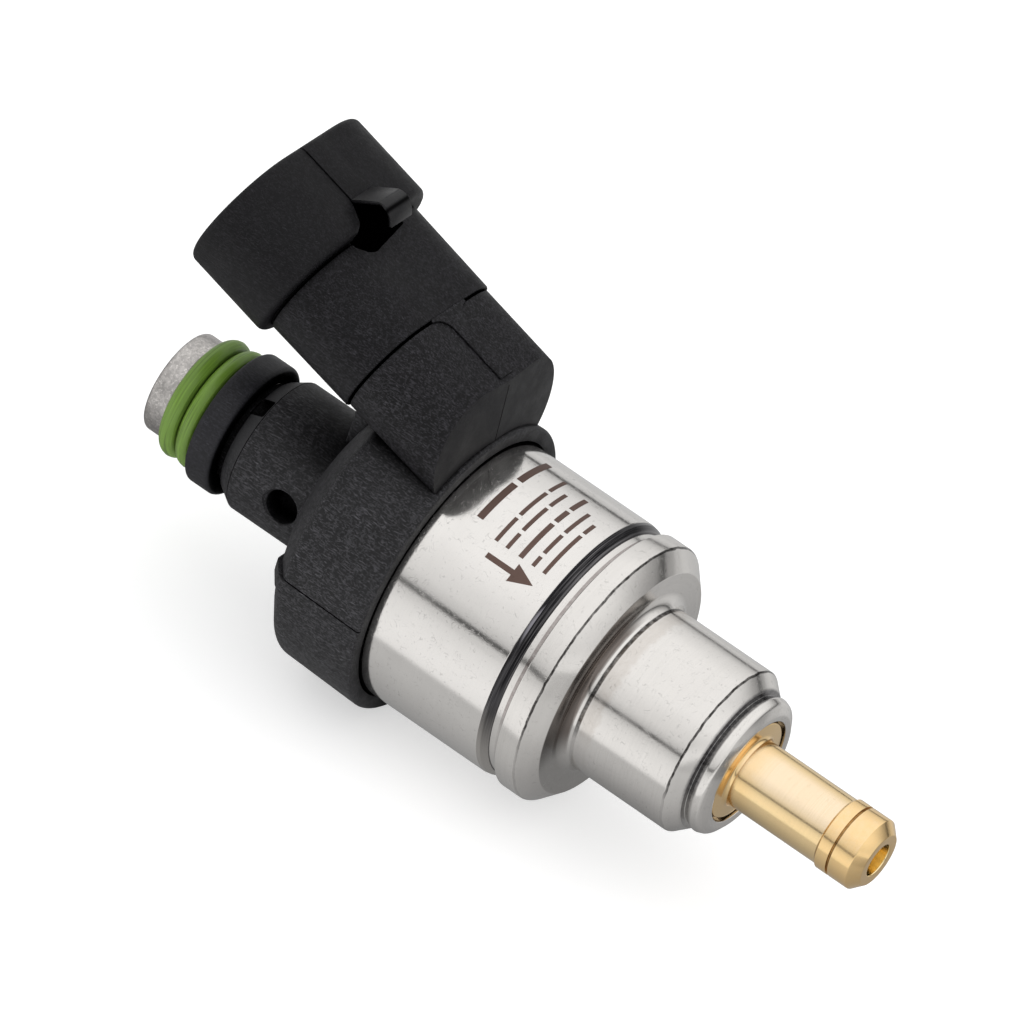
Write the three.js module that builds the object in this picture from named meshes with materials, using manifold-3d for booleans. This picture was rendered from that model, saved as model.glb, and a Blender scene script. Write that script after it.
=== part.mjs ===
// Gas fuel injector, built as an assembly of separate pieces.
// Millimetres. The injector axis is +X, from the inlet end face at x = 0 to the nozzle tip.
// The electrical connector leaves the cap on the +Z side and leans back over the inlet.
// The XZ plane is the plane of symmetry.
import * as THREE from "three";
import { mergeVertices } from "three/addons/utils/BufferGeometryUtils.js";
import Module from "manifold-3d";

const wasm = await Module();
wasm.setup();

// ---------------------------------------------------------------- driving dimensions

// Facets round a full turn: large turned pieces, and small ones.
const ROUND = 32;
const FINE = 24;

// Inlet: a steel tube that plugs into the rail through two O-rings.
const TUBE = { r: 4.52, edge: 0.3, bore: 3.0, end: 22.5 };
const STEM = { start: 7.9, r: 3.6 };
const RING_GROOVE = { start: 1.95, end: 5.39, floor: 3.6 };
const ORING = { section: 0.83, centreR: 4.585, first: 2.82, second: 4.52 };
const BACKUP = { start: 5.45, end: 7.84, bore: 4.6, r: 6.0, edge: 0.45 };
const FILTER = { start: 5.2, rimEnd: 6.4, end: 14.0, rimR: 2.92, bodyR: 2.3, wall: 0.35 };

// Plastic overmould: neck round the tube, cone, and cap skirt over the can.
const NECK = { start: 8.5, startR: 5.15, chamferEnd: 9.85, r: 5.97, bore: 3.7 };
const NECK_SLEEVE = { start: 8.0, r: 4.15 };
const NOTCH = { start: 8.3, end: 9.7, halfWidth: 0.85, floor: 4.45, turnDeg: 28.7 };
const CAP = { end: 28.1, endR: 13.24 };
const CONE = [[16.8, NECK.r], [17.4, 8.0], [18.8, 11.0], [19.45, 12.0], [20.0, 12.6], [20.55, 12.98]];
const PARTING_LEDGE = { top: -0.02, bottom: -1.33, forward: 0.4, proud: 0.05, rootR: 9.0 };
const CAP_CAVITY = { start: 21.2, r: 11.85 };
const SIDE_HOLE = { x: 14.84, r: 1.55, floor: 4.0 };
const RIB = { start: 16.25, end: 22.0, halfWidth: 1.65, bottom: 5.0, top: 13.0 };

// Connector: slot-shaped sections along a leaning axis. Depths run inwards from the rim plane,
// and heights are measured across that axis, away from the tube.
const CONNECTOR = { rimX: 2.37, rimZ: 21.91, leanDeg: 16.6, halfSlot: 3.28 };
const HEAD = { depth: 8.4, r: 6.26, cavityR: 4.95, cavityDepth: 8.0 };
const SHELL_NECK = { end: 17.2, r: 5.11, offset: -0.3, cavityR: 4.1 };
const BASE = { start: 17.38, end: 30.0, r: 4.81, offset: -0.3 };
const BASE_END = { x: 27.6, z: 15.0, leanDeg: 4.7 };
const STRIP = { halfWidth: 1.4, height: 0.12, end: 5.9 };
const LATCH = { halfWidth: 1.4, start: 5.75, riseEnd: 7.46, riseTop: 8.16, plate: 0.3 };
const LATCH_CROWN = { depth: 8.25, height: 8.49 };
const LATCH_CURL = { depth: 9.1, height: 8.12 };
const LATCH_TIP = { depth: 9.73, height: 7.5, under: 7.3 };
const LATCH_SLOT = { start: 6.1, wideAt: 7.8, end: 10.0, halfWidth: 1.36, wide: 2.2, bottom: 3.3 };
const CARRIER = { start: 13.5, end: 17.0, r: 3.98 };
const PIN = { offset: 3.0, thick: 0.8, wide: 2.8, tip: 5.0, end: 22.0, taper: 1.2, clear: 0.1 };

// Solenoid.
const CAN = { start: 21.4, end: 40.1, r: 11.77, bore: 10.6, edge: 0.55 };
const WASHER = { r: 10.5, bore: 4.75 };
const UPPER_WASHER = { start: 22.6, end: 24.1 };
const LOWER_WASHER = { start: 37.4, end: 38.9 };
const BOBBIN = { start: 24.2, end: 37.3, hub: 5.6, bore: 4.62, flangeR: 9.8, flange: 1.0 };
const WINDING = { r: 9.2, bore: 5.68, gap: 0.06 };
const SLEEVE = { start: 22.65, end: 47.2, r: 4.5, bore: 4.06 };
const CORE = { start: 22.7, end: 33.0, r: 3.98, bore: 2.0 };
const ADJUSTER = { start: 23.6, end: 28.0, r: 1.9, bore: 1.0 };
const SPRING = { start: 28.45, end: 37.1, meanR: 1.42, wireR: 0.3, turns: 7 };

// Valve.
const LIFT = 0.45;
const ARMATURE = { end: 46.6, r: 3.92, flat: 3.3, pocketR: 2.15, pocketEnd: 37.5 };
const ARMATURE_HOLE = { x: 36.0, r: 0.8 };
const PAD = { r: 2.85, seatedIn: 1.15, end: 47.66 };
const SEAT = { start: 47.9, end: 50.4, r: 5.68, orifice: 1.3, lip: 0.22, lipIn: 1.55, lipOut: 2.1 };
const SEAT_RING = { x: 49.15, section: 0.44, centreR: 5.22, grooveHalf: 0.62, floor: 4.74 };

// Lower housing: spigot in the can, groove, collar, neck and swaged lip.
const SPIGOT = { start: 39.0, r: 10.5, bore: 4.6 };
const HOUSING_GROOVE = { start: 40.18, end: 41.65, r: 11.25 };
const COLLAR = { end: 43.54, r: 11.87, chamferEnd: 44.97, chamferR: 10.32 };
const STEEL_NECK = { start: 46.05, filletR: 8.5, r: 7.5, end: 54.87, chamferEnd: 56.05, chamferR: 6.43 };
const CHAMBER = { start: 47.6, end: 57.1, r: 5.76 };
const LIP = { end: 57.97, r: 4.7, rootR: 6.03, swellR: 6.23, bendR: 6.1, faceR: 5.7, edgeR: 5.24 };

// Brass nozzle.
const NOZZLE = { start: 50.55, bodyR: 5.68, bodyEnd: 57.0, faceR: 4.43, faceX: 57.7 };
const NOZZLE_GROOVE = { start: 53.0, end: 54.9, floor: 4.55 };
const NOZZLE_RING = { x: 53.95, section: 0.56, centreR: 5.14 };
const BARREL = { r: 3.0, end: 66.65 };
const TIP = { r: 3.2, start: 66.84, lineStart: 67.9, lineEnd: 68.1, lineR: 3.1, end: 69.9 };
const OUTLET = { x: 70.76, r: 2.33, bore: 1.45, boreEnd: 62.0, jet: 0.9 };

// ---------------------------------------------------------------- materials

const finish = (color, roughness, metalness) => ({ color, roughness, metalness });
const BLACK_PLASTIC = finish(0x2a2a2c, 0.6, 0);
const RING_PLASTIC = finish(0x333338, 0.65, 0);
const GREEN_RUBBER = finish(0x5f9646, 0.45, 0);
const DARK_RUBBER = finish(0x1d1d1e, 0.7, 0);
const STEEL = finish(0xd2cfca, 0.32, 1);
const MILD_STEEL = finish(0x9c9a97, 0.45, 1);
const BRASS = finish(0xdcb878, 0.25, 1);
const COPPER = finish(0xb36b3c, 0.35, 1);
const TINNED = finish(0xc9c7c0, 0.3, 1);
const NATURAL_NYLON = finish(0xd8d2c0, 0.55, 0);
const SPRING_WIRE = finish(0x8d8f92, 0.3, 1);

// ---------------------------------------------------------------- shape helpers

// Keeps only positions, joins shared vertices and drops the triangles that collapse on the axis.
function closed(geometry) {
  geometry.deleteAttribute("normal");
  geometry.deleteAttribute("uv");
  const merged = mergeVertices(geometry, 1e-4);
  const corners = merged.index.array;
  const kept = [];
  for (let i = 0; i < corners.length; i += 3) {
    const [a, b, c] = corners.slice(i, i + 3);
    if (a !== b && b !== c && c !== a) kept.push(a, b, c);
  }
  merged.setIndex(kept);
  return merged;
}

// A section of [x, radius] points turned about the X axis: forwards along the outside, then back
// along the bore. A section that starts and ends on the axis is turned into a body with no bore.
function turned(section, segments = ROUND) {
  const points = section.map(([x, r]) => new THREE.Vector2(r, x));
  if (section[0][1] > 0) points.push(points[0].clone());
  return closed(new THREE.LatheGeometry(points, segments).rotateZ(-Math.PI / 2));
}

// A plain ring or tube.
function ring(start, end, r, bore, segments = ROUND) {
  return turned([[start, r], [end, r], [end, bore], [start, bore]], segments);
}

// A plain solid rod.
function rod(start, end, r, segments = ROUND) {
  return turned([[start, 0], [start, r], [end, r], [end, 0]], segments);
}

// A ring of round section.
function torus(x, centreR, section, segments = FINE) {
  const geometry = new THREE.TorusGeometry(centreR, section, 8, segments);
  return closed(geometry.rotateY(Math.PI / 2).translate(x, 0, 0));
}

// Points of an arc in a turned section, about [x, r], from one angle to another, in degrees.
function arc(x, r, radius, from, to, steps) {
  const points = [];
  for (let i = 0; i <= steps; i += 1) {
    const angle = THREE.MathUtils.degToRad(from + ((to - from) * i) / steps);
    points.push([x + radius * Math.cos(angle), r + radius * Math.sin(angle)]);
  }
  return points;
}

function box(low, high) {
  const size = high.map((value, i) => value - low[i]);
  const centre = high.map((value, i) => (value + low[i]) / 2);
  return closed(new THREE.BoxGeometry(...size).translate(...centre));
}

// A slot-shaped bar: two half rounds whose centres stand apart across the bar, joined by flats.
function slotBar(start, end, radius, offset, curveSegments = 9) {
  const outline = new THREE.Shape();
  outline.absarc(CONNECTOR.halfSlot, offset, radius, -Math.PI / 2, Math.PI / 2, false);
  outline.absarc(-CONNECTOR.halfSlot, offset, radius, Math.PI / 2, (3 * Math.PI) / 2, false);
  outline.closePath();
  const settings = { depth: end - start, bevelEnabled: false, curveSegments };
  return closed(new THREE.ExtrudeGeometry(outline, settings).translate(0, 0, start));
}

// A flat outline in depth and height, drawn across the connector with the given half width.
function acrossConnector(outline, halfWidth) {
  const shape = new THREE.Shape(outline.map(([depth, height]) => new THREE.Vector2(depth, height)));
  const geometry = new THREE.ExtrudeGeometry(shape, { depth: 2 * halfWidth, bevelEnabled: false });
  return closed(geometry.translate(0, 0, -halfWidth).rotateY(-Math.PI / 2));
}

function solid(geometry) {
  const vertProperties = new Float32Array(geometry.attributes.position.array);
  const triVerts = new Uint32Array(geometry.index.array);
  return new wasm.Manifold(new wasm.Mesh({ numProp: 3, vertProperties, triVerts }));
}

function shapeOf(manifold) {
  const { vertProperties, triVerts } = manifold.getMesh();
  const geometry = new THREE.BufferGeometry();
  geometry.setAttribute("position", new THREE.BufferAttribute(new Float32Array(vertProperties), 3));
  geometry.setIndex(new THREE.BufferAttribute(new Uint32Array(triVerts), 1));
  return geometry;
}

const cut = (body, ...tools) => tools.reduce((left, tool) => left.subtract(tool), body);
const join = (body, ...others) => others.reduce((all, other) => all.add(other), body);

const injector = new THREE.Group();
const connector = new THREE.Group();
injector.add(connector);

function add(name, geometry, material, group = injector) {
  const mesh = new THREE.Mesh(geometry, new THREE.MeshStandardMaterial(material));
  mesh.name = name;
  group.add(mesh);
  return mesh;
}

// The connector's own frame: x across, y away from the tube, z inwards from the rim.
const lean = THREE.MathUtils.degToRad(CONNECTOR.leanDeg);
const acrossAxis = new THREE.Vector3(0, 1, 0);
const outAxis = new THREE.Vector3(Math.sin(lean), 0, Math.cos(lean));
const inAxis = new THREE.Vector3(Math.cos(lean), 0, -Math.sin(lean));
const connectorFrame = new THREE.Matrix4().makeBasis(acrossAxis, outAxis, inAxis);
connectorFrame.setPosition(CONNECTOR.rimX, 0, CONNECTOR.rimZ);
connector.applyMatrix4(connectorFrame);

// ---------------------------------------------------------------- inlet

function inletTube() {
  return turned([
    [0, TUBE.r - TUBE.edge], [TUBE.edge, TUBE.r], [RING_GROOVE.start, TUBE.r],
    [RING_GROOVE.start, RING_GROOVE.floor], [RING_GROOVE.end, RING_GROOVE.floor],
    [RING_GROOVE.end, TUBE.r], [STEM.start, TUBE.r], [STEM.start, STEM.r], [TUBE.end, STEM.r],
    [TUBE.end, TUBE.bore], [0, TUBE.bore],
  ]);
}

// A cup-shaped strainer with its mouth towards the inlet.
function inletFilter() {
  const inner = FILTER.bodyR - FILTER.wall;
  return turned([
    [FILTER.start, inner], [FILTER.start, FILTER.rimR], [FILTER.rimEnd, FILTER.rimR],
    [FILTER.rimEnd, FILTER.bodyR], [FILTER.end, FILTER.bodyR - 0.4], [FILTER.end, 0],
    [FILTER.end - FILTER.wall, 0], [FILTER.end - FILTER.wall, inner - 0.4],
  ], FINE);
}

function backupRing() {
  const { start, end, bore, r, edge } = BACKUP;
  return turned([
    [start, r - edge], [start + edge, r], [end - edge, r], [end, r - edge], [end, bore], [start, bore],
  ]);
}

add("inlet_tube", inletTube(), STEEL);
add("inlet_filter", inletFilter(), NATURAL_NYLON);
add("oring_outer", torus(ORING.first, ORING.centreR, ORING.section), GREEN_RUBBER);
add("oring_inner", torus(ORING.second, ORING.centreR, ORING.section), GREEN_RUBBER);
add("backup_ring", backupRing(), RING_PLASTIC);

// ---------------------------------------------------------------- connector

// The thin curled latch tongue: it rises off the head, crowns and turns down past its rear edge.
function latchTongue() {
  const { start, riseEnd, riseTop, plate } = LATCH;
  const top = HEAD.r;
  return acrossConnector([
    [start, top - 0.1], [riseEnd, riseTop], [LATCH_CROWN.depth, LATCH_CROWN.height],
    [LATCH_CURL.depth, LATCH_CURL.height], [LATCH_TIP.depth, LATCH_TIP.height],
    [LATCH_TIP.depth - plate, LATCH_TIP.under], [LATCH_CURL.depth - 0.2, LATCH_CURL.height - plate],
    [LATCH_CROWN.depth, LATCH_CROWN.height - plate], [riseEnd + 0.2, riseTop - plate],
    [start + 0.75, top - 0.1], [start + 0.45, top - 0.6], [start - 0.1, top - 0.6],
  ], LATCH.halfWidth);
}

function latchSlot() {
  const { start, wideAt, end, halfWidth, wide, bottom } = LATCH_SLOT;
  const outline = new THREE.Shape([
    [halfWidth, -start], [wide, -wideAt], [wide, -end],
    [-wide, -end], [-wide, -wideAt], [-halfWidth, -start],
  ].reverse().map(([x, y]) => new THREE.Vector2(x, y)));
  const height = HEAD.r + 0.5 - bottom;
  const geometry = new THREE.ExtrudeGeometry(outline, { depth: height, bevelEnabled: false });
  return closed(geometry.rotateX(-Math.PI / 2).translate(0, bottom, 0));
}

function connectorShell() {
  const head = solid(slotBar(0, HEAD.depth, HEAD.r, 0));
  const neck = solid(slotBar(HEAD.depth - 1, SHELL_NECK.end, SHELL_NECK.r, SHELL_NECK.offset));
  const mouth = solid(slotBar(-1, HEAD.cavityDepth, HEAD.cavityR, 0));
  const throat = solid(slotBar(1, SHELL_NECK.end + 1, SHELL_NECK.cavityR, SHELL_NECK.offset));
  const strip = solid(box(
    [-STRIP.halfWidth, HEAD.r - 0.5, 0],
    [STRIP.halfWidth, HEAD.r + STRIP.height, STRIP.end],
  ));
  const hollow = cut(join(head, neck, strip), mouth, throat, solid(latchSlot()));
  return shapeOf(join(hollow, solid(latchTongue())));
}

// Where a terminal pin lies, with a clearance all round.
function pinBar(side, clear) {
  const middle = side * PIN.offset;
  const halfThick = PIN.thick / 2 + clear;
  const halfWide = PIN.wide / 2 + clear;
  return box(
    [middle - halfThick, SHELL_NECK.offset - halfWide, PIN.tip + PIN.taper - clear],
    [middle + halfThick, SHELL_NECK.offset + halfWide, PIN.end + clear],
  );
}

// A flat blade with a narrowed tip.
function terminalPin(side) {
  const { tip, taper, end, wide, thick, offset } = PIN;
  const blade = acrossConnector([
    [tip, -wide / 4], [tip + taper, -wide / 2], [end, -wide / 2],
    [end, wide / 2], [tip + taper, wide / 2], [tip, wide / 4],
  ].reverse(), thick / 2);
  return blade.translate(side * offset, SHELL_NECK.offset, 0);
}

function terminalCarrier() {
  const plug = solid(slotBar(CARRIER.start, CARRIER.end, CARRIER.r, SHELL_NECK.offset));
  return shapeOf(cut(plug, solid(pinBar(-1, PIN.clear)), solid(pinBar(1, PIN.clear))));
}

add("connector_shell", connectorShell(), BLACK_PLASTIC, connector);
add("terminal_carrier", terminalCarrier(), BLACK_PLASTIC, connector);
for (const [name, side] of [["terminal_pin_left", -1], ["terminal_pin_right", 1]]) {
  add(name, terminalPin(side), TINNED, connector);
}

// ---------------------------------------------------------------- overmould

function neckAndCap() {
  return solid(turned([
    [NECK_SLEEVE.start, NECK_SLEEVE.r], [NECK.start, NECK_SLEEVE.r], [NECK.start, NECK.startR],
    [NECK.chamferEnd, NECK.r], ...CONE, [CAP.end, CAP.endR], [CAP.end, NECK.bore],
    [NECK_SLEEVE.start, NECK.bore],
  ]));
}

// The two halves of the mould left a narrow ledge along the parting line of the shoulder and skirt.
function partingLedge() {
  const { top, bottom, forward, proud, rootR } = PARTING_LEDGE;
  const shoulder = CONE.slice(2).map(([x, r]) => [x - forward, r + proud]);
  const raised = turned([
    ...shoulder, [CAP.end, CAP.endR + proud], [CAP.end, rootR], [shoulder[0][0], rootR],
  ]);
  return solid(raised).intersect(solid(box([0, -20, bottom], [40, 20, top])));
}

// A blind hole in the side of the neck, where a mould pin held the tube.
function sideHole(side) {
  const depth = 10;
  const hole = closed(new THREE.CylinderGeometry(SIDE_HOLE.r, SIDE_HOLE.r, depth, 16));
  return solid(hole.translate(SIDE_HOLE.x, side * (SIDE_HOLE.floor + depth / 2), 0));
}

// A notch through the neck's front chamfer.
function frontNotch() {
  const { start, end, halfWidth, floor, turnDeg } = NOTCH;
  const space = box([start, -halfWidth, floor], [end, halfWidth, NECK.r + 2]);
  return solid(space.rotateX(THREE.MathUtils.degToRad(turnDeg)));
}

function capOvermould() {
  const outside = join(neckAndCap(), partingLedge());
  const bar = slotBar(BASE.start, BASE.end, BASE.r, BASE.offset).applyMatrix4(connectorFrame);
  const endLean = THREE.MathUtils.degToRad(BASE_END.leanDeg);
  const trim = box([0, -20, -30], [30, 20, 30]).rotateY(endLean).translate(BASE_END.x, 0, BASE_END.z);
  const rib = solid(box([RIB.start, -RIB.halfWidth, RIB.bottom], [RIB.end, RIB.halfWidth, RIB.top]));
  const shellSpace = solid(box([-20, -20, -30], [20, 20, BASE.start]).applyMatrix4(connectorFrame));
  const cavity = rod(CAP_CAVITY.start, CAP.end + 5, CAP_CAVITY.r);
  const slots = [-1, 1].map((side) => solid(pinBar(side, PIN.clear).applyMatrix4(connectorFrame)));
  const base = solid(bar).subtract(solid(trim));
  const body = join(outside, base, cut(rib, shellSpace));
  const passage = solid(rod(NECK.start, CAP_CAVITY.start + 1, NECK.bore));
  return shapeOf(cut(body, solid(cavity), passage, frontNotch(), sideHole(-1), sideHole(1), ...slots));
}

add("cap_overmould", capOvermould(), BLACK_PLASTIC);

// ---------------------------------------------------------------- solenoid

function steelCan() {
  const { start, end, r, bore, edge } = CAN;
  return turned([
    [start, r], ...arc(end - edge, r - edge, edge, 90, 0, 3), [end, bore], [start, bore],
  ]);
}

function coilBobbin() {
  const { start, end, hub, bore, flangeR, flange } = BOBBIN;
  return turned([
    [start, flangeR], [start + flange, flangeR], [start + flange, hub], [end - flange, hub],
    [end - flange, flangeR], [end, flangeR], [end, bore], [start, bore],
  ], FINE);
}

// A coil of round wire between two stations on the axis.
function coilSpring() {
  class Helix extends THREE.Curve {
    getPoint(t, target = new THREE.Vector3()) {
      const angle = 2 * Math.PI * SPRING.turns * t;
      const x = THREE.MathUtils.lerp(SPRING.start, SPRING.end, t);
      return target.set(x, SPRING.meanR * Math.cos(angle), SPRING.meanR * Math.sin(angle));
    }
  }
  const wire = new THREE.Shape();
  wire.absarc(0, 0, SPRING.wireR, 0, 2 * Math.PI, false);
  const settings = { steps: SPRING.turns * 10, extrudePath: new Helix(), curveSegments: 3 };
  return closed(new THREE.ExtrudeGeometry(wire, settings));
}

add("steel_can", steelCan(), STEEL);
add("upper_flux_washer", ring(UPPER_WASHER.start, UPPER_WASHER.end, WASHER.r, WASHER.bore), MILD_STEEL);
add("lower_flux_washer", ring(LOWER_WASHER.start, LOWER_WASHER.end, WASHER.r, WASHER.bore), MILD_STEEL);
add("coil_bobbin", coilBobbin(), NATURAL_NYLON);
add("coil_winding", ring(
  BOBBIN.start + BOBBIN.flange + WINDING.gap,
  BOBBIN.end - BOBBIN.flange - WINDING.gap,
  WINDING.r, WINDING.bore, FINE,
), COPPER);
add("guide_sleeve", ring(SLEEVE.start, SLEEVE.end, SLEEVE.r, SLEEVE.bore), STEEL);
add("fixed_core", ring(CORE.start, CORE.end, CORE.r, CORE.bore), MILD_STEEL);
add("spring_adjuster", ring(ADJUSTER.start, ADJUSTER.end, ADJUSTER.r, ADJUSTER.bore, FINE), STEEL);
add("return_spring", coilSpring(), SPRING_WIRE);

// ---------------------------------------------------------------- valve

// The armature stands one lift below the fixed core. Two flats let the gas past, and a cross
// hole joins them to the spring pocket.
const armatureTop = CORE.end + LIFT + 0.05;

function armature() {
  const { end, r, flat, pocketR, pocketEnd } = ARMATURE;
  const padFloor = end - PAD.seatedIn - 0.05;
  const plunger = solid(turned([
    [armatureTop, 0], [armatureTop, r], [end, r],
    [end, PAD.r + 0.1], [padFloor, PAD.r + 0.1], [padFloor, 0],
  ]));
  const pocket = solid(rod(armatureTop - 1, pocketEnd, pocketR, FINE));
  const flats = [-1, 1].map((side) => {
    const faces = [side * flat, side * (r + 1)].sort((a, b) => a - b);
    return solid(box([armatureTop - 1, faces[0], -r - 1], [end + 1, faces[1], r + 1]));
  });
  const drill = new THREE.CylinderGeometry(ARMATURE_HOLE.r, ARMATURE_HOLE.r, 3 * r, 12);
  const hole = solid(closed(drill.translate(ARMATURE_HOLE.x, 0, 0)));
  return shapeOf(cut(plunger, pocket, hole, ...flats));
}

function valveSeat() {
  const { start, end, r, orifice, lip, lipIn, lipOut } = SEAT;
  const groove = [SEAT_RING.x - SEAT_RING.grooveHalf, SEAT_RING.x + SEAT_RING.grooveHalf];
  return turned([
    [start, r], [groove[0], r], [groove[0], SEAT_RING.floor], [groove[1], SEAT_RING.floor],
    [groove[1], r], [end, r], [end, orifice], [start, orifice], [start, lipIn - 0.1],
    [start - lip, lipIn + 0.1], [start - lip, lipOut - 0.1], [start, lipOut + 0.1],
  ]);
}

add("armature", armature(), MILD_STEEL);
add("valve_pad", rod(ARMATURE.end - PAD.seatedIn, PAD.end, PAD.r, FINE), DARK_RUBBER);
add("valve_seat", valveSeat(), STEEL);
add("seat_oring", torus(SEAT_RING.x, SEAT_RING.centreR, SEAT_RING.section), DARK_RUBBER);

// ---------------------------------------------------------------- lower housing and nozzle

function lowerHousing() {
  const { start, filletR, r, end, chamferEnd, chamferR } = STEEL_NECK;
  return turned([
    [SPIGOT.start, SPIGOT.r], [HOUSING_GROOVE.start, SPIGOT.r], [HOUSING_GROOVE.start, HOUSING_GROOVE.r],
    [HOUSING_GROOVE.end, HOUSING_GROOVE.r], [HOUSING_GROOVE.end, COLLAR.r], [COLLAR.end, COLLAR.r],
    [COLLAR.chamferEnd, COLLAR.chamferR], [COLLAR.chamferEnd, filletR],
    [COLLAR.chamferEnd + 0.32, r + 0.32], [start, r], [end, r], [chamferEnd, chamferR],
    [chamferEnd + 0.14, LIP.rootR], [chamferEnd + 0.7, LIP.swellR], [LIP.end - 0.67, LIP.bendR],
    [LIP.end - 0.17, LIP.faceR], [LIP.end, LIP.edgeR], [LIP.end - 0.12, LIP.r], [CHAMBER.end, LIP.r],
    [CHAMBER.end, CHAMBER.r], [CHAMBER.start, CHAMBER.r], [CHAMBER.start, SPIGOT.bore],
    [SPIGOT.start, SPIGOT.bore],
  ]);
}

function brassNozzle() {
  const { start, bodyR, bodyEnd, faceR, faceX } = NOZZLE;
  return turned([
    [start, bodyR], [NOZZLE_GROOVE.start, bodyR], [NOZZLE_GROOVE.start, NOZZLE_GROOVE.floor],
    [NOZZLE_GROOVE.end, NOZZLE_GROOVE.floor], [NOZZLE_GROOVE.end, bodyR], [bodyEnd, bodyR],
    [bodyEnd, faceR], [faceX, faceR], [faceX, BARREL.r + 0.4], [faceX + 0.4, BARREL.r],
    [BARREL.end, BARREL.r], [TIP.start, TIP.r], [TIP.lineStart, TIP.r], [TIP.lineStart, TIP.lineR],
    [TIP.lineEnd, TIP.lineR], [TIP.lineEnd, TIP.r], [TIP.end, TIP.r], [OUTLET.x, OUTLET.r],
    [OUTLET.x, OUTLET.bore], [OUTLET.boreEnd, OUTLET.bore], [OUTLET.boreEnd - 0.5, OUTLET.jet],
    [start, OUTLET.jet],
  ]);
}

add("lower_housing", lowerHousing(), STEEL);
add("brass_nozzle", brassNozzle(), BRASS);
add("nozzle_oring", torus(NOZZLE_RING.x, NOZZLE_RING.centreR, NOZZLE_RING.section), DARK_RUBBER);

export default injector;
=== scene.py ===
"""Fuel injector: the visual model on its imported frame. Lengths in this file are millimetres."""

import math

import bmesh
import bpy
from mathutils import Matrix, Vector


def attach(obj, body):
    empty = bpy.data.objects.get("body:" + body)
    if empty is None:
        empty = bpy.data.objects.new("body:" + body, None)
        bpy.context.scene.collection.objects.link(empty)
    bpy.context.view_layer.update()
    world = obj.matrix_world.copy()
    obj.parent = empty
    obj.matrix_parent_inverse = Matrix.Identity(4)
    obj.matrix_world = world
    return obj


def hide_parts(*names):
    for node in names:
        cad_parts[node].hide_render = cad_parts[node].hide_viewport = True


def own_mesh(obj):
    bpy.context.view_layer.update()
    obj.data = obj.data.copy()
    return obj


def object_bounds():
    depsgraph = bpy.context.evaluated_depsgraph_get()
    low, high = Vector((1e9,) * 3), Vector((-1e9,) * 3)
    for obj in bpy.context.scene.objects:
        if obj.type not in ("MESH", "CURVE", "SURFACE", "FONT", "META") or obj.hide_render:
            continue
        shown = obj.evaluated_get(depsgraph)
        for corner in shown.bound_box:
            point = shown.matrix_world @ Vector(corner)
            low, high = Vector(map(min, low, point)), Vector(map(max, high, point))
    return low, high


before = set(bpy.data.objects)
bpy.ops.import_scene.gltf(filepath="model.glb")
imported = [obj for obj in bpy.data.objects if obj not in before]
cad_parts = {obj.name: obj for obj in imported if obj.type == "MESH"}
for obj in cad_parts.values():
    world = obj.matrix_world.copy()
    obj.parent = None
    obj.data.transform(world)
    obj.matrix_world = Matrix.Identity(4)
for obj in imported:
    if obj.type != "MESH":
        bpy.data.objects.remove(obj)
cad_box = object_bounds()
BODY = "injector_body"
MM = 0.001

# ---------------------------------------------------------------- mesh helpers


def rounded(corners, closed=True, steps=5):
    """(a, b, tag) points from (a, b, radius, tag) corners, each corner rounded to its radius."""
    points = []
    last = len(corners) - 1
    for i, corner in enumerate(corners):
        here = Vector(corner[:2])
        radius = corner[2] if len(corner) > 2 else 0
        tag = corner[3] if len(corner) > 3 else 0
        if not radius or (not closed and i in (0, last)):
            points.append((here.x, here.y, tag))
            continue
        back = Vector(corners[i - 1][:2]) - here
        ahead = Vector(corners[(i + 1) % len(corners)][:2]) - here
        half = back.angle(ahead) / 2
        cut = min(radius / math.tan(half), 0.49 * back.length, 0.49 * ahead.length)
        radius = cut * math.tan(half)
        back.normalize()
        ahead.normalize()
        centre = here + (back + ahead).normalized() * (radius / math.sin(half))
        first = here + back * cut - centre
        second = here + ahead * cut - centre
        turn = first.angle(second)
        for k in range(steps + 1):
            t = k / steps
            arm = (first * math.sin((1 - t) * turn) + second * math.sin(t * turn)) / math.sin(turn)
            points.append((centre.x + arm.x, centre.y + arm.y, tag))
    return points


def mesh_from(bm, name):
    """A mesh with its normals outwards, from a bmesh that is used up."""
    data = bpy.data.meshes.new(name)
    bmesh.ops.recalc_face_normals(bm, faces=bm.faces)
    bm.to_mesh(data)
    bm.free()
    return data


def linked(name, data):
    """An object in the scene's collection."""
    obj = bpy.data.objects.new(name, data)
    bpy.context.scene.collection.objects.link(obj)
    return obj


def piece(name, mesh, material, node=None, sharp=32):
    """A finished object from a bmesh or mesh: smooth shaded, with its material, riding on the body.
    node is the CAD node it replaces; faces that meet at more than sharp degrees keep an edge."""
    data = mesh_from(mesh, name) if isinstance(mesh, bmesh.types.BMesh) else mesh
    data.name = name
    data.polygons.foreach_set("use_smooth", [True] * len(data.polygons))
    data.set_sharp_from_angle(angle=math.radians(sharp))
    obj = linked(name, data)
    data.materials.clear()
    data.materials.append(material)
    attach(obj, BODY)
    if node:
        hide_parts(node)
    return obj


def skin(rings, closed):
    """A bmesh of quads over rings of points; a ring of one point closes an end."""
    bm = bmesh.new()
    verts = [[bm.verts.new(Vector(p) * MM) for p in ring] for ring in rings]
    count = max(len(ring) for ring in rings)
    pairs = list(zip(verts, verts[1:]))
    if closed:
        pairs.append((verts[-1], verts[0]))
    for low, high in pairs:
        for i in range(count):
            j = (i + 1) % count
            loop = [low[i % len(low)], low[j % len(low)], high[j % len(high)], high[i % len(high)]]
            face = [v for k, v in enumerate(loop) if v not in loop[:k]]
            if len(face) > 2:
                bm.faces.new(face)
    return bm


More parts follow.
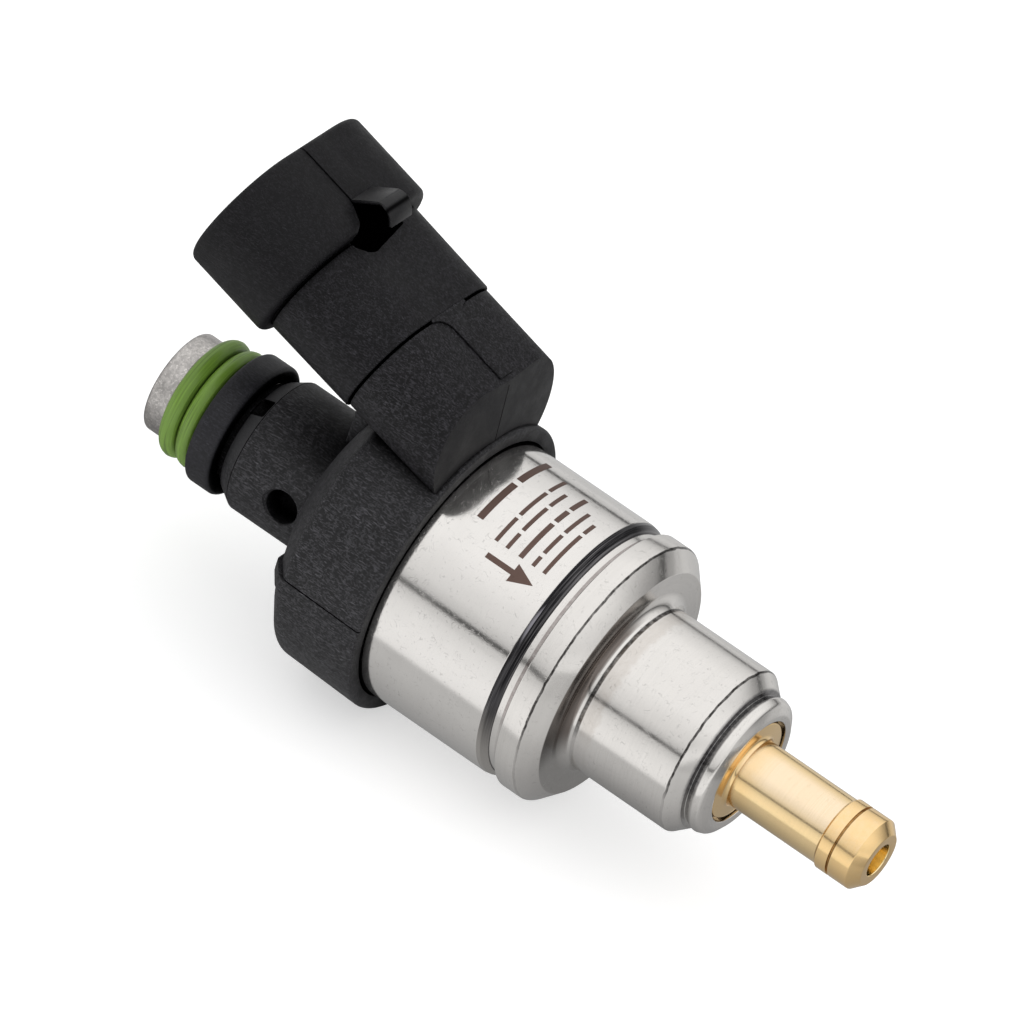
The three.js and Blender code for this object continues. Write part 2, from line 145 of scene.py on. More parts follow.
def capped(bm):
    """Fills the open ends of a bmesh."""
    bmesh.ops.holes_fill(bm, edges=[e for e in bm.edges if e.is_boundary])
    return bm


def lathe(corners, closed=True, segments=160, steps=5):
    """A bmesh turned round the injector axis from (x, r, fillet) corners."""
    rings = []
    for x, r, _ in rounded(corners, closed, steps):
        if r < 1e-6:
            rings.append([(x, 0, 0)])
            continue
        angles = [2 * math.pi * k / segments for k in range(segments)]
        rings.append([(x, r * math.sin(a), r * math.cos(a)) for a in angles])
    return skin(rings, closed)


def torus(x, centre, section, flash, segments=160, around=40):
    """A ring of round section, with a fine mould line standing out by flash at its crown."""
    rings = []
    for k in range(around):
        turn = 2 * math.pi * k / around
        crown = flash if k == 0 else 0.0
        r = centre + (section + crown) * math.cos(turn)
        rings.append((x + section * math.sin(turn), r, 0))
    return lathe(rings, True, segments)


# The connector's own frame: across is +Y, out is away from the tube, inwards runs down its axis.
# RIM is the middle of its rim, and NECK_SHIFT is how far the neck's slot lies off the head's.
LEAN = math.radians(16.6)
RIM = Vector((2.37, 0, 21.91))
OUT = Vector((math.sin(LEAN), 0, math.cos(LEAN)))
INWARDS = Vector((math.cos(LEAN), 0, -math.sin(LEAN)))
HALF_SLOT = 3.28
NECK_SHIFT = -0.3


def at(across, out, inwards):
    """A point in the injector's frame from its place in the connector's frame."""
    return RIM + Vector((0, across, 0)) + OUT * out + INWARDS * inwards


def slot_loft(corners, closed=True, steps=5, arc=28):
    """A bmesh of slot-shaped rings from (depth, radius, fillet, shift outwards) corners."""
    rings = []
    for depth, r, offset in rounded(corners, closed, steps):
        ring = []
        for side, start in ((1, -90), (-1, 90)):
            for k in range(arc + 1):
                a = math.radians(start + 180 * k / arc)
                ring.append(at(side * HALF_SLOT + r * math.cos(a), offset + r * math.sin(a), depth))
        rings.append(ring)
    return skin(rings, closed)


def prism(outline, low, high, place):
    """A bmesh of a closed outline swept from low to high; place(a, b, height) gives each point."""
    bm = bmesh.new()
    ends = [[bm.verts.new(place(a, b, h) * MM) for a, b in outline] for h in (low, high)]
    bm.faces.new(ends[0])
    bm.faces.new(ends[1])
    for i in range(len(outline)):
        j = (i + 1) % len(outline)
        bm.faces.new([ends[0][i], ends[0][j], ends[1][j], ends[1][i]])
    bmesh.ops.recalc_face_normals(bm, faces=bm.faces)
    return bm


def across_connector(depth, out, across):
    """For a prism whose outline is in depth and height, swept across the connector."""
    return at(across, out, depth)


def out_of_connector(depth, across, out):
    """For a prism whose outline is in depth and width, swept outwards."""
    return at(across, out, depth)


def along_y(x, z, y):
    """For a prism whose outline is in x and z, swept along the injector's Y."""
    return Vector((x, y, z))


def slab(low, high):
    """A bmesh box between two corners in the injector's frame."""
    outline = [(low[0], low[2]), (high[0], low[2]), (high[0], high[2]), (low[0], high[2])]
    return prism(outline, low[1], high[1], along_y)


def soften(bm, width, angle=40, segments=2):
    """Rounds the edges of a bmesh that turn by more than angle."""
    edges = [e for e in bm.edges if e.is_manifold and e.calc_face_angle(0) > math.radians(angle)]
    bmesh.ops.bevel(
        bm, geom=edges, offset=width * MM, segments=segments, profile=0.5,
        affect="EDGES", clamp_overlap=True,
    )
    return bm


def combined(bm, others, operation="DIFFERENCE", bevel=0.0):
    """The mesh left after a boolean of bm with each of the others, its edges eased by bevel."""
    base = linked("base", mesh_from(bm, "base"))
    tools = [linked("cutter", mesh_from(other, "cutter")) for other in others]
    for tool in tools:
        change = base.modifiers.new("change", "BOOLEAN")
        change.operation = operation
        change.object = tool
        change.solver = "EXACT"
    if bevel:
        ease = base.modifiers.new("ease", "BEVEL")
        ease.width = bevel * MM
        ease.segments = 2
        ease.limit_method = "ANGLE"
        ease.angle_limit = math.radians(40)
        ease.harden_normals = False
    bpy.context.view_layer.update()
    evaluated = base.evaluated_get(bpy.context.evaluated_depsgraph_get())
    result = bpy.data.meshes.new_from_object(evaluated)
    for obj in [base, *tools]:
        bpy.data.objects.remove(obj)
    return result


# ---------------------------------------------------------------- material helpers


class Shader:
    """A node material, with short calls for its nodes."""

    def __init__(self, name, colour, metallic=0.0, roughness=0.5):
        self.material = bpy.data.materials.new(name)
        self.material.use_nodes = True
        self.tree = self.material.node_tree
        self.surface = self.tree.nodes["Principled BSDF"]
        self.set("Base Color", (*colour, 1))
        self.set("Metallic", metallic)
        self.set("Roughness", roughness)
        self.place = self.node("ShaderNodeTexCoord").outputs["Object"]

    def set(self, socket, value):
        """Links a shader value to the surface, or sets a plain one on its socket."""
        if hasattr(value, "is_output"):
            self.tree.links.new(value, self.surface.inputs[socket])
        else:
            self.surface.inputs[socket].default_value = value

    def node(self, kind, inputs=(), **settings):
        """A new node with its settings, and its inputs linked or set by socket name or index."""
        node = self.tree.nodes.new(kind)
        for key, value in settings.items():
            setattr(node, key, value)
        for key, value in dict(inputs).items():
            if hasattr(value, "is_output"):
                self.tree.links.new(value, node.inputs[key])
            else:
                node.inputs[key].default_value = value
        return node

    def math(self, operation, a, b=0.0, clamp=False):
        inputs = {0: a, 1: b}
        return self.node("ShaderNodeMath", inputs, operation=operation, use_clamp=clamp).outputs[0]

    def spread(self, value, low, high, to_low=0.0, to_high=1.0, smooth=False):
        """A value mapped from one range to another, and held at the ends."""
        limits = {"From Min": low, "From Max": high, "To Min": to_low, "To Max": to_high}
        inputs = {"Value": value, **limits}
        kind = "SMOOTHSTEP" if smooth else "LINEAR"
        return self.node("ShaderNodeMapRange", inputs, interpolation_type=kind).outputs["Result"]

    def times(self, a, b):
        """The product of two values."""
        return self.math("MULTIPLY", a, b)

    def dot(self, vector, direction):
        """How far a vector reaches along a direction."""
        inputs = {0: vector, 1: direction}
        return self.node("ShaderNodeVectorMath", inputs, operation="DOT_PRODUCT").outputs["Value"]

    def scaled(self, x, y, z, turn=(0, 0, 0)):
        """Object coordinates, turned by three angles in degrees and scaled along each axis."""
        angles = [math.radians(a) for a in turn]
        inputs = {"Vector": self.place, "Rotation": angles, "Scale": (x, y, z)}
        return self.node("ShaderNodeMapping", inputs).outputs["Vector"]

    def noise(self, size, detail=3.0, rough=0.55, distortion=0.0, vector=None):
        """Noise whose features are about size millimetres across. With a vector of its own,
        size is the noise's scale on that vector."""
        inputs = {
            "Vector": self.place if vector is None else vector,
            "Scale": 1000 / size if vector is None else size,
            "Detail": detail,
            "Roughness": rough,
            "Distortion": distortion,
        }
        return self.node("ShaderNodeTexNoise", inputs).outputs["Fac"]

    def strokes(self, size, width, low):
        """Short curved strokes: level lines of a noise, broken up by a second one."""
        level = self.math("ABSOLUTE", self.math("SUBTRACT", self.noise(size, 1, 0.5, 1.2), 0.5))
        line = self.spread(level, 0.0, width, 1.0, 0.0, True)
        patches = self.spread(self.noise(size * 0.9, 2), low, low + 0.1, 0.0, 1.0, True)
        return self.times(line, patches)

    def needles(self, turn, low):
        """Short straight hairs that all lie one way, turned by three angles in degrees."""
        drawn = self.noise(1.0, 1, 0.5, vector=self.scaled(1700, 10500, 10500, turn))
        return self.spread(drawn, low, low + 0.06, 0.0, 1.0, True)

    def band(self, x, start, end, feather, wobble=0.0):
        """1 between two distances along the axis, with soft and slightly wandering edges."""
        if wobble:
            drift = self.times(self.math("SUBTRACT", self.noise(0.8, 3), 0.5), wobble * MM)
            x = self.math("ADD", x, drift)
        enter = self.spread(x, (start - feather) * MM, (start + feather) * MM, 0, 1, True)
        leave = self.spread(x, (end - feather) * MM, (end + feather) * MM, 1, 0, True)
        return self.times(enter, leave)

    def mix(self, factor, a, b):
        """Colour a where the factor is 0 and b where it is 1."""
        node = self.node("ShaderNodeMix", {"Factor": factor}, data_type="RGBA", clamp_factor=True)
        for index, value in ((6, a), (7, b)):
            if hasattr(value, "is_output"):
                self.tree.links.new(value, node.inputs[index])
            else:
                node.inputs[index].default_value = (*value, 1)
        return node.outputs[2]

    def bump(self, height, distance, strength=1.0, normal=None):
        """A normal with relief added; distance is the relief's height in millimetres."""
        inputs = {"Height": height, "Distance": distance * MM, "Strength": strength}
        if normal is not None:
            inputs["Normal"] = normal
        return self.node("ShaderNodeBump", inputs).outputs["Normal"]

    def parts(self):
        """The place along the axis and its two coordinates across it, in metres."""
        parts = self.node("ShaderNodeSeparateXYZ", {"Vector": self.place})
        return parts.outputs["X"], parts.outputs["Y"], parts.outputs["Z"]

    def radius(self):
        """Distance from the injector axis, in metres."""
        _, y, z = self.parts()
        return self.math("SQRT", self.math("ADD", self.times(y, y), self.times(z, z)))

    def rings(self, per_metre, detail=3.0, rough=0.65):
        """Noise in fine rings round the axis, on barrels, cones and flat faces alike."""
        x, y, z = self.parts()
        run = self.times(self.math("ADD", x, self.radius()), per_metre)
        spot = {0: run, 1: self.times(y, 60), 2: self.times(z, 60)}
        vector = self.node("ShaderNodeCombineXYZ", spot).outputs["Vector"]
        return self.noise(1.0, detail, rough, vector=vector)

    def near_side(self, low, high):
        """1 on the camera's side of the axis and a little below, 0 round the back."""
        along = self.dot(self.place, (0, -0.872, 0.489))
        return self.spread(self.math("DIVIDE", along, self.radius()), low, high, 0, 1, True)

    def facing(self, direction, low, high):
        """1 where the surface faces a direction of the injector's frame, 0 where it turns away."""
        normal = self.node("ShaderNodeNewGeometry").outputs["Normal"]
        return self.spread(self.dot(normal, direction), low, high, 0, 1, True)

    def shelter(self, reach, low, high):
        """1 in the open, 0 deep in gaps and corners no wider than reach millimetres."""
        inputs = {"Distance": reach * MM}
        node = self.node("ShaderNodeAmbientOcclusion", inputs, samples=8)
        return self.spread(node.outputs["AO"], low, high, 0, 1, True)


# ---------------------------------------------------------------- materials


def tinted(colour, share):
    """A colour made darker or lighter, up to white."""
    return [min(1, c * share) for c in colour]


def moulded_plastic(name, colour, roughness, fibre, shine, crevice, extra=None):
    """Glass-filled nylon: a fine moulded grain, short light-coloured fibres on it, and painted
    shade in crevices.
    crevice is the reach and range of the shelter; extra takes the shader, the base colour and the
    painted shade, and adds a piece's own marks and its painted light and shade."""
    s = Shader(name, colour, roughness=roughness)
    grain = s.noise(0.17, 2, 0.6)
    strand = s.strokes(0.55, 0.07, 0.4)
    hairs = s.math("MAXIMUM", s.needles((0, 35, 20), 0.63), s.needles((60, -25, 75), 0.63))
    hairs = s.math("MAXIMUM", hairs, s.needles((20, 70, -50), 0.63))
    bright = s.needles((0, -50, -30), 0.68)
    base = s.mix(s.spread(s.noise(5.0, 3), 0.3, 0.7), tinted(colour, 0.68), tinted(colour, 1.22))
    base = s.mix(s.spread(grain, 0.35, 0.7, 0, 0.75), base, tinted(colour, 1.7))
    lines = s.math("MAXIMUM", s.times(strand, 0.6), hairs)
    base = s.mix(s.times(lines, 0.8 * fibre), base, tinted(colour, 7.0))
    base = s.mix(s.times(bright, 0.6 * fibre), base, tinted(colour, 14.0))
    # painted shade: the colour darkens and the shine falls away in crevices and gaps, from the
    # shelter
    painted_shade = s.math("SUBTRACT", 1.0, s.shelter(*crevice))
    if extra:
        base, painted_shade = extra(s, base, painted_shade)
    s.set("Base Color", s.mix(painted_shade, base, tinted(colour, 0.05)))
    s.set("Specular IOR Level", s.times(s.math("SUBTRACT", 1.0, painted_shade), shine))
    s.set("Roughness", s.spread(s.noise(1.4, 3), 0.3, 0.7, roughness - 0.07, roughness + 0.07))
    relief = s.bump(grain, 0.018, 0.7)
    relief = s.bump(s.math("ADD", lines, bright), 0.012, 0.7 * min(1.0, fibre + 0.1), relief)
    s.set("Normal", s.bump(s.noise(1.8, 3), 0.02, 0.3, relief))
    return s.material


def in_connector(s):
    """Shader values of a place in the connector's frame: across, out and inwards, in metres."""
    inputs = {0: s.place, 1: tuple(RIM * MM)}
    local = s.node("ShaderNodeVectorMath", inputs, operation="SUBTRACT").outputs[0]
    return [s.dot(local, tuple(axis)) for axis in (Vector((0, 1, 0)), OUT, INWARDS)]


def slot_shade(s, base, painted_shade):
    """Painted shade makes the latch slot black inside and under the latch tongue, and the head is
    smoother than the neck.
    """
    across, out, inwards = in_connector(s)
    base = s.mix(s.spread(inwards, 8.3 * MM, 8.45 * MM, 0.5, 0.0), base, [0.0062, 0.006, 0.0067])
    # painted shade: black on the surfaces below the shell's wall under the slot
    inside = s.times(s.band(inwards, 5.6, 10.8, 0.1), s.spread(out, 4.5 * MM, 4.72 * MM, 1, 0))
    inside = s.times(inside, s.band(across, -3.5, 3.5, 0.1))
    # painted shade: black under the latch tongue, inside the head's cut
    under = s.times(s.band(inwards, 5.95, 8.5, 0.04), s.spread(out, 5.98 * MM, 6.12 * MM, 1, 0))
    under = s.times(under, s.band(across, -2.5, 2.5, 0.04))
    return base, s.math("MAXIMUM", painted_shade, s.math("MAXIMUM", inside, under))


def roll_shade(s, base, painted_shade):
    """On the latch tongue: a painted dark reflection along its roll, and painted shade underneath.
    """
    _, out, inwards = in_connector(s)
    # painted reflection: a dark band along the roll
    painted_dark_reflection = s.times(s.band(inwards, 8.55, 8.95, 0.16), 0.93)
    # painted shade on the faces that turn away from out
    under = s.facing(tuple(-OUT), -0.1, 0.25)
    return base, s.math("MAXIMUM", s.math("MAXIMUM", painted_dark_reflection, under), painted_shade)


def painted_front_light_and_shade(s, base, painted_shade):
    """Painted light makes the neck's wide front chamfer paler where it faces up and forwards, and
    painted shade darkens the neck's top, in the connector's shade.
    """
    # painted light: the chamfer is paler where it faces up and forwards
    faces = s.facing((-0.62, -0.5, 0.6), 0.7, 0.95)
    inside = s.times(s.band(s.parts()[0], 8.45, 9.82, 0.05), faces)
    base = s.mix(s.times(inside, 0.85), base, [0.034, 0.034, 0.036])
    # painted shade: the neck's top darkens towards the connector
    top = s.facing((0, -0.3, 0.954), 0.72, 0.98)
    below = s.times(top, s.spread(s.parts()[0], 11 * MM, 17 * MM))
    below = s.times(below, s.spread(s.radius(), 7 * MM, 7.6 * MM, 0.8, 0))
    return base, s.math("MAXIMUM", painted_shade, below)


def painted_end_light(s, base, painted_shade):
    """Painted light: the base's end face is painted lighter than its sides, as if it caught more
    light.
    """
    # painted light on the end face
    return s.mix(s.facing(tuple(INWARDS), 0.75, 0.97), base, [0.0172, 0.017, 0.018]), painted_shade


def rubber(name, colour, roughness=0.4):
    """Moulded rubber: soft cloudiness, fine rings left by the mould, and painted shade in its gaps.
    """
    s = Shader(name, colour, roughness=roughness)
    rings = s.noise(1.0, 2, 0.6, vector=s.scaled(5200, 90, 90))
    fine = s.noise(1.0, 2, 0.5, vector=s.scaled(12000, 200, 200))
    base = s.mix(s.noise(2.5, 3), tinted(colour, 0.86), tinted(colour, 1.14))
    base = s.mix(s.spread(rings, 0.56, 0.64, 0.0, 0.7), base, tinted(colour, 0.45))
    base = s.mix(s.spread(fine, 0.56, 0.66, 0.0, 0.5), base, tinted(colour, 1.6))
    # painted shade: the colour darkens in gaps
    free_of_painted_shade = s.shelter(1.2, 0.15, 0.6)
    s.set("Base Color", s.mix(free_of_painted_shade, tinted(colour, 0.35), base))
    s.set("Roughness", s.spread(s.noise(0.5, 3), 0.3, 0.7, roughness - 0.06, roughness + 0.08))
    relief = s.bump(rings, 0.02, 0.6)
    s.set("Normal", s.bump(s.noise(0.3, 2), 0.004, 0.3, relief))
    s.set("Specular IOR Level", 0.4)
    return s.material


def with_stains_and_painted_light(s, base, along, stains_and_painted_light):
    """A base colour with bands along a distance in metres: discolouring and painted light. Each
    band is (start, end, feather, wobble, strength, colour)."""
    for start, end, feather, wobble, strength, band_colour in stains_and_painted_light:
        inside = s.band(along, start, end, feather, wobble)
        patchy = s.spread(s.noise(0.5, 4, 0.7), 0.3, 0.6, 0.7, 1.0)
        base = s.mix(s.times(s.times(inside, patchy), strength), base, band_colour)
    return base


def turned_metal(name, colour, roughness, lines, pits, line_scale=14000, stains_and_painted_light=(),
                 painted_face_reflections=(), ripple=1.0, painted_highlight=None, bore=None, mottle=0.0, fade_below=0.0):
    """Turned metal: fine rings round the axis, a cloudy polish, pits, scratches, and bands of
    discolouring and painted light.
    A painted face reflection is (start, end, inner radius, outer radius, colour), on the camera's
    side only.
    The painted highlight is the colour of the upper side, bore is the radius and colour of a bore,
    mottle is how blotchy it is, and the fade below is how far the axis bands fade on the underside."""
    s = Shader(name, colour, metallic=1.0, roughness=roughness)
    rings = s.rings(line_scale)
    cloud = s.noise(3.0, 4)
    base = s.mix(cloud, tinted(colour, 0.94), tinted(colour, 1.05))
    # painted highlight on the upper side
    if painted_highlight:
        base = s.mix(s.facing((0, -0.511, 0.860), 0.76, 0.97), base, painted_highlight)
    if mottle:
        dull = s.spread(s.noise(0.42, 5, 0.72, 1.0), 0.4, 0.6, mottle, 0.0, True)
        base = s.mix(dull, base, tinted(colour, 0.42))
        glints = s.spread(s.noise(0.3, 3, 0.7), 0.56, 0.66, 0.0, mottle, True)
        base = s.mix(glints, base, tinted(colour, 1.7))
    base = s.mix(s.spread(rings, 0.3, 0.75, 0.0, 0.3 * lines), base, tinted(colour, 0.75))
    holes = s.spread(s.noise(0.22, 3, 0.7, 2.5), 0.29, 0.34, 0.8, 0.0, True)
    sparse = s.spread(s.noise(1.7, 2), 0.5, 0.6, 0.0, 1.0, True)
    scratch = s.math("MAXIMUM", s.strokes(0.9, 0.022, 0.52), s.strokes(0.45, 0.03, 0.56))
    spots = s.math("ADD", s.times(holes, sparse), s.times(scratch, 0.5))
    pit = s.math("MULTIPLY", spots, pits, clamp=True)
    base = s.mix(s.times(pit, 0.6), base, tinted(colour, 0.4))
    # bands of discolouring and painted light along the axis, faded on the underside
    marked = with_stains_and_painted_light(s, base, s.parts()[0], stains_and_painted_light)
    below = s.times(s.facing((0, -0.1, -0.995), 0.0, 0.3), fade_below)
    base = s.mix(below, marked, base)
    # painted reflections on flat faces, on the camera's side only
    for start, end, low, high, band_colour in painted_face_reflections:
        on_face = s.times(s.band(s.parts()[0], start, end, 0.05, 0.06), s.near_side(0.5, 0.85))
        ring = s.times(s.band(s.radius(), low, high, 0.1, 0.08), 0.9)
        base = s.mix(s.times(on_face, ring), base, band_colour)
    if bore:
        inside = s.spread(s.radius(), (bore[0] + 0.02) * MM, (bore[0] + 0.05) * MM, 1.0, 0.0)
        base = s.mix(inside, base, bore[1])
    s.set("Base Color", base)
    rough = s.spread(cloud, 0.3, 0.7, roughness * 0.85, roughness * 1.2)
    s.set("Roughness", s.math("ADD", rough, s.times(pit, 0.25)))
    relief = s.bump(rings, 0.0014 * lines, 0.6)
    relief = s.bump(s.noise(0.3, 3, 0.75), 0.0018 * ripple, 1.0, relief)
    relief = s.bump(s.noise(4.0, 2), 0.006 * ripple, 0.6, relief)
    s.set("Normal", s.bump(pit, -0.006, 0.5, relief))
    return s.material


def welded_band(name):
    """A narrow blued band of weld: near black, with bright hairlines, greyer underneath, and a
    painted highlight where it faces the camera.
    """
    s = Shader(name, [0.05, 0.05, 0.056], metallic=1.0, roughness=0.24)
    lines = s.rings(15000, 4, 0.75)
    broad = s.rings(4200, 2, 0.5)
    base = s.mix(s.spread(lines, 0.5, 0.72, 0.0, 0.8), [0.014, 0.0135, 0.015], [0.29, 0.28, 0.285])
    base = s.mix(s.spread(broad, 0.52, 0.62, 0.0, 0.4), base, [0.16, 0.155, 0.16])
    below = s.facing((0, -0.3, -0.954), 0.2, 0.75)
    base = s.mix(s.times(below, 0.85), base, [0.6, 0.57, 0.535])
    # painted highlight where the band faces the camera
    painted_glint = s.facing((0.2, -0.76, 0.62), 0.985, 0.9995)
    s.set("Base Color", s.mix(s.times(painted_glint, 0.4), base, [0.6, 0.58, 0.64]))
    relief = s.bump(lines, 0.004, 0.7)
    s.set("Normal", s.bump(s.noise(0.6, 3), 0.006, 0.6, relief))
    return s.material


BLACK_EDGE = [0.015, 0.013, 0.012]
BROWN_REFLECTION = [0.085, 0.066, 0.056]
# Painted crevice shade: the reach of the shelter in millimetres, and its range.
HEAD_CREVICE = (3.2, 0.44, 0.84)
MOULDING_CREVICE = (2.8, 0.36, 0.82)
LATCH_CREVICE = (1.0, 0.2, 0.6)
NOZZLE_BORE_R = 1.45
MATERIALS = {
    "shell_plastic": moulded_plastic(
        "shell_plastic_satin", [0.0042, 0.004, 0.0047], 0.5, 0.95, 0.15, HEAD_CREVICE, slot_shade,
    ),
    "latch_plastic": moulded_plastic(
        "latch_plastic_bright", [0.0062, 0.006, 0.0068], 0.34, 0.1, 0.32, LATCH_CREVICE, roll_shade,
    ),
    "cap_plastic": moulded_plastic(
        "cap_plastic_fibre", [0.0092, 0.009, 0.01], 0.56, 1.0, 0.25, MOULDING_CREVICE, painted_front_light_and_shade,
    ),
    "base_plastic": moulded_plastic(
        "base_plastic_fibre", [0.0047, 0.0045, 0.0052], 0.56, 1.3, 0.17, MOULDING_CREVICE, painted_end_light,
    ),
    # the backup ring's wide crevice range paints its rear face near black in the groove, as painted
    # shade
    "ring_plastic": moulded_plastic(
        "ring_plastic_fine", [0.0094, 0.0093, 0.0116], 0.5, 0.25, 0.26, (3.2, 0.5, 0.86),
    ),
    "green_rubber": rubber("green_rubber_moulded", [0.15, 0.27, 0.036], 0.36),
    "dark_rubber": rubber("dark_rubber_moulded", [0.02, 0.02, 0.021], 0.5),
    "can_steel": turned_metal(
        "can_steel_polished", [0.79, 0.767, 0.74], 0.115, 0.35, 1.0, ripple=1.3,
    ),
    "housing_steel": turned_metal(
        "housing_steel_turned", [0.775, 0.75, 0.72], 0.14, 0.8, 1.0,
        stains_and_painted_light=(
            # painted shadow: a taupe line in the corner past the weld
            (41.2, 41.63, 0.03, 0.02, 0.8, [0.25, 0.21, 0.2]),
            (43.5, 43.66, 0.03, 0.16, 0.97, BLACK_EDGE),
            # painted dark reflection in the fillet at the neck's root
            (45.8, 46.14, 0.05, 0.06, 0.97, BLACK_EDGE),
            (46.1, 47.4, 0.3, 1.0, 0.25, [0.4, 0.32, 0.25]),
            (54.8, 54.98, 0.03, 0.18, 0.97, BLACK_EDGE),
            (55.95, 56.75, 0.12, 0.1, 0.85, [0.05, 0.05, 0.058]),
        ),
        # painted dark reflections of the shaded floor on the shoulder's flat face
        painted_face_reflections=(
            (44.92, 45.2, 8.3, 10.34, BROWN_REFLECTION),
            (44.92, 45.6, 7.6, 8.7, [0.12, 0.095, 0.082]),
        ),
        ripple=1.5, fade_below=0.8,
    ),
    "weld": welded_band("weld_blued"),
    "turned_steel": turned_metal("inner_steel_turned", [0.6, 0.585, 0.56], 0.25, 0.8, 0.3),
    "tube_steel": turned_metal(
        "tube_steel_dull", [0.57, 0.545, 0.525], 0.33, 1.3, 1.0, 7000, ripple=2.5, mottle=0.55,
    ),
    "magnet_steel": turned_metal("magnet_steel_turned", [0.35, 0.34, 0.33], 0.38, 1.0, 0.5),
    "brass": turned_metal(
        "brass_turned", [1.0, 0.735, 0.4], 0.15, 1.0, 0.3,
        # painted highlight: paler gold where the surface faces up and towards the camera
        painted_highlight=[0.98, 0.8, 0.58], bore=(NOZZLE_BORE_R, [1.0, 0.84, 0.5]),
        stains_and_painted_light=(
            # painted reflection of the housing's lip: deeper gold by the flange
            (56.5, 59.6, 1.1, 0.0, 0.6, [0.92, 0.63, 0.29]),
            (66.8, 71.0, 0.05, 0.0, 0.8, [0.96, 0.66, 0.31]),
            (67.91, 68.11, 0.04, 0.0, 0.85, [0.14, 0.08, 0.03]),
        ),
    ),
    "copper_wire": turned_metal("copper_wire_wound", [0.6, 0.25, 0.11], 0.3, 1.0, 0.1, 5000),
    "tinned_blade": turned_metal("tinned_blade_bright", [0.6, 0.59, 0.56], 0.22, 0.4, 0.5, 3000),
    "nylon": moulded_plastic("nylon_natural", [0.5, 0.45, 0.34], 0.42, 0.0, 0.5, (2.4, 0.0, 0.2)),
    "spring_wire": turned_metal("spring_wire_drawn", [0.32, 0.33, 0.35], 0.28, 0.6, 0.3, 9000),
    "etched": turned_metal("etched_brown", [0.15, 0.1, 0.085], 0.45, 0.5, 0.4),
}

# ---------------------------------------------------------------- inlet

RING_CENTRE_R = 4.585
RING_SECTION = 0.83
RING_MOULD_LINE = 0.015

piece(
    "inlet_tube_fine",
    lathe([
        (0, 4.52, 0.35), (1.95, 4.52, 0.1), (1.95, 3.6), (5.39, 3.6), (5.39, 4.52, 0.1),
        (7.7, 4.52, 0.1), (7.7, 3.6), (22.5, 3.6), (22.5, 3.0), (0, 3.0, 0.3),
    ]),
    MATERIALS["tube_steel"], "inlet_tube",
)
for node, ring_x in (("oring_outer", 2.82), ("oring_inner", 4.52)):
    ring = torus(ring_x, RING_CENTRE_R, RING_SECTION, RING_MOULD_LINE)
    piece(f"{node}_moulded", ring, MATERIALS["green_rubber"], node, 60)
piece(
    "backup_ring_turned",
    lathe([(5.45, 6.0, 0.3), (7.84, 6.0, 0.35), (7.84, 4.6, 0.1), (5.45, 4.6, 0.1)]),
    MATERIALS["ring_plastic"], "backup_ring",
)

# ---------------------------------------------------------------- cap overmould

SKIRT_R = 13.24
CAVITY_R = 11.85
SIDE_HOLE_X = 14.84
SIDE_HOLE_R = 1.5
CAP_PROFILE = [
    (7.74, 4.56, 0.05), (8.5, 4.56), (8.5, 5.12, 0.1), (9.8, 5.94), (9.84, 5.88),
    (9.88, 5.97, 0.04), (16.78, 5.97, 0.35), (17.4, 8.0, 2.2), (18.85, 11.1, 1.6),
    (20.3, 12.98, 1.1), (28.1, SKIRT_R, 0.3), (28.1, 11.94, 0.05), (27.3, 11.94), (27.1, CAVITY_R),
    (21.2, CAVITY_R), (21.2, 3.7), (7.74, 3.7),
]


def side_hole(side, segments=40):
    """A cutter for a blind hole that enters the neck along Y, flared at its mouth."""
    angles = [2 * math.pi * k / segments for k in range(segments)]
    mouth_r = SIDE_HOLE_R + 0.3
    rings = []
    for y, r in ((4.0, SIDE_HOLE_R), (5.7, SIDE_HOLE_R), (6.0, mouth_r), (9.7, mouth_r)):
        rings.append([(SIDE_HOLE_X + r * math.cos(a), side * y, r * math.sin(a)) for a in angles])
    return capped(skin(rings, False))


def groove(side):
    """A cutter for the thin groove along the parting line of the skirt."""
    low, high = sorted((side * 12.9, side * 15.0))
    return slab((19.2, low, -0.02), (30.0, high, 0.08))


def front_notch():
    """A cutter for the notch through the neck's front chamfer."""
    bm = soften(slab((8.2, -0.85, 4.4), (9.75, 0.85, 8.0)), 0.18, 40, 3)
    turn = Matrix.Rotation(math.radians(28.7), 3, "X")
    bmesh.ops.rotate(bm, verts=bm.verts, cent=(0, 0, 0), matrix=turn)
    return bm


cap_mesh = combined(
    lathe(CAP_PROFILE, True, 192, 7),
    [side_hole(-1), side_hole(1), groove(-1), groove(1), front_notch()],
)
piece("cap_moulding", cap_mesh, MATERIALS["cap_plastic"], "cap_overmould")

LEDGE = [
    (18.4, 9.0), (18.4, 11.05, 0.25), (19.6, 12.65, 1.0), (20.15, 13.03, 0.8),
    (28.08, SKIRT_R + 0.05, 0.2), (28.08, 12.4), (21.4, 12.4), (20.4, 9.0),
]
for side, word in ((-1, "near"), (1, "far")):
    low, high = sorted((side * 5.0, side * 20.0))
    keep = slab((10, low, -1.33), (40, high, -0.02))
    ledge = combined(lathe(LEDGE, True, 192, 6), [keep], "INTERSECT", 0.06)
    piece(f"parting_ledge_{word}", ledge, MATERIALS["cap_plastic"], None)


# The base's end face leans: END_X is where its middle is, END_HEIGHT over the axis.
END_X = 27.64
END_HEIGHT = 15
END_LEAN = math.tan(math.radians(4.7))


def leaning(x, y, z):
    """A place moved along the axis with the lean of the end face, by its height."""
    return Vector((x + (END_HEIGHT - z) * END_LEAN, y, z))


